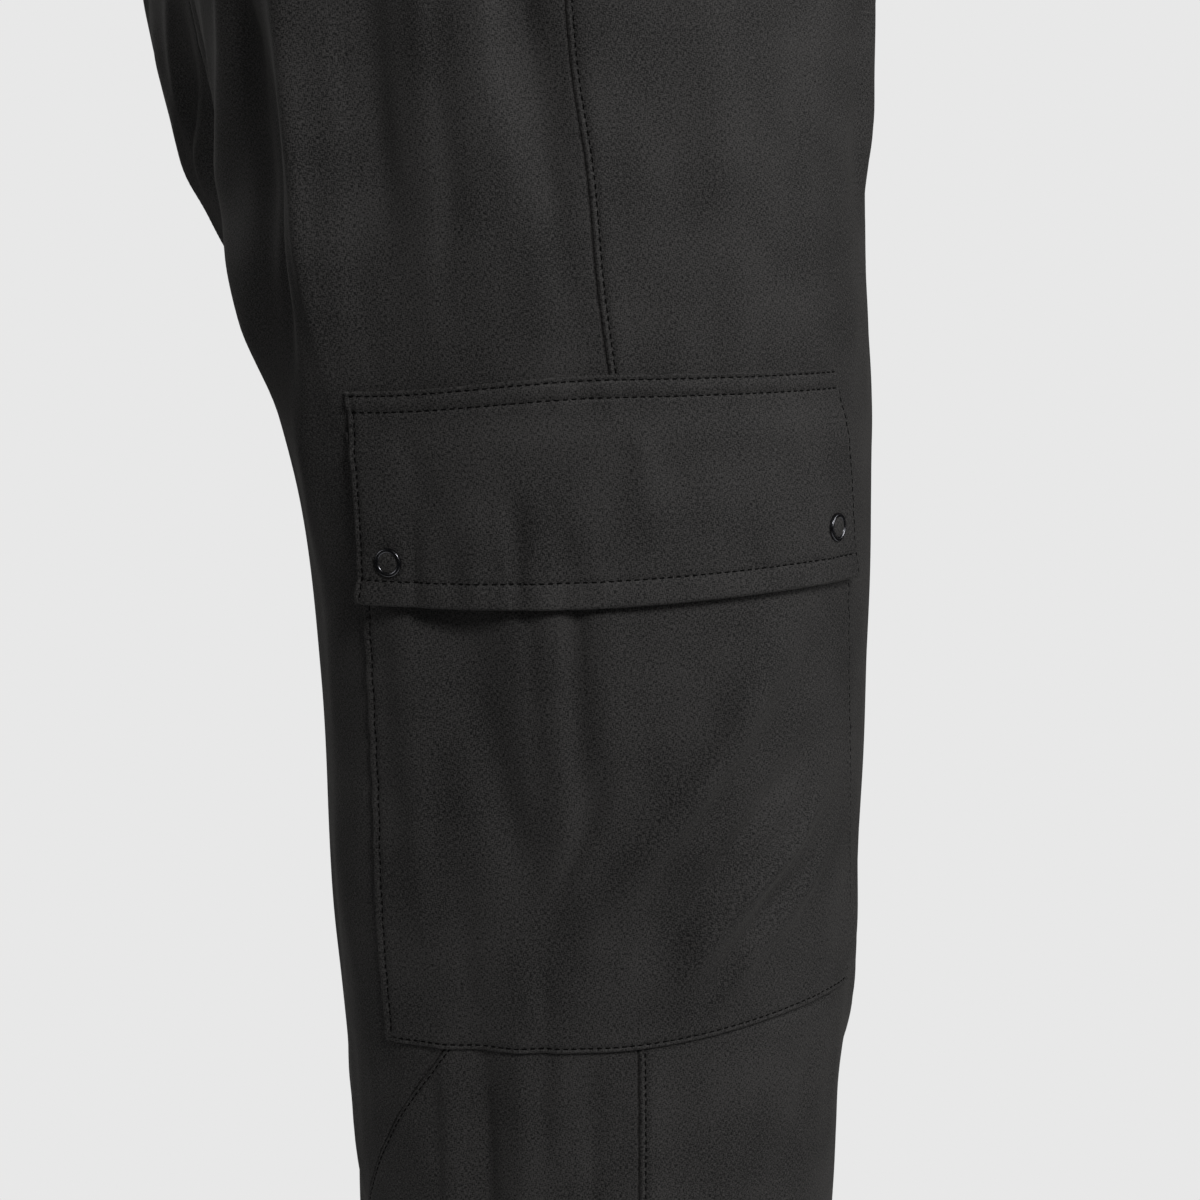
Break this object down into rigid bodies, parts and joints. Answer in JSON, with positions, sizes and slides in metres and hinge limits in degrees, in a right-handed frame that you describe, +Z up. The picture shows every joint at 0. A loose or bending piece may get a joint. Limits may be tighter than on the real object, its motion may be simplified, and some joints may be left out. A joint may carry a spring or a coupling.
{
  "type": "gym trousers",
  "caption": "Long gym trousers with an elastic waistband, a slanting knee seam and a flapped, snapped cargo pocket on each outer leg, hollow as worn.",
  "frame": {"origin": "middle of the waist opening, at the level of the waistband's top edge, where the wearer's waist holds the trousers up", "axes": "+Z up, -Y the way the wearer faces, +X the wearer's left"},
  "size_m": [0.3914, 0.2952, 1.02],
  "materials": {
    "main_cloth": "matt woven stretch cloth, near black",
    "pocket_cloth": "the same cloth, near black",
    "waistband_cloth": "the same cloth, doubled over elastic",
    "snap_metal": "dark polished metal"
  },
  "bodies": {
    "root": {"waistband": "waistband_cloth", "front_upper_left": "main_cloth", "front_lower_left": "main_cloth", "back_left": "main_cloth", "pocket_left": "pocket_cloth", "pocket_flap_left": "pocket_cloth", "front_upper_right": "main_cloth", "front_lower_right": "main_cloth", "back_right": "main_cloth", "pocket_right": "pocket_cloth", "pocket_flap_right": "pocket_cloth", "snap_front_left": "snap_metal", "snap_back_left": "snap_metal", "snap_front_right": "snap_metal", "snap_back_right": "snap_metal"}
  },
  "joints": []
}
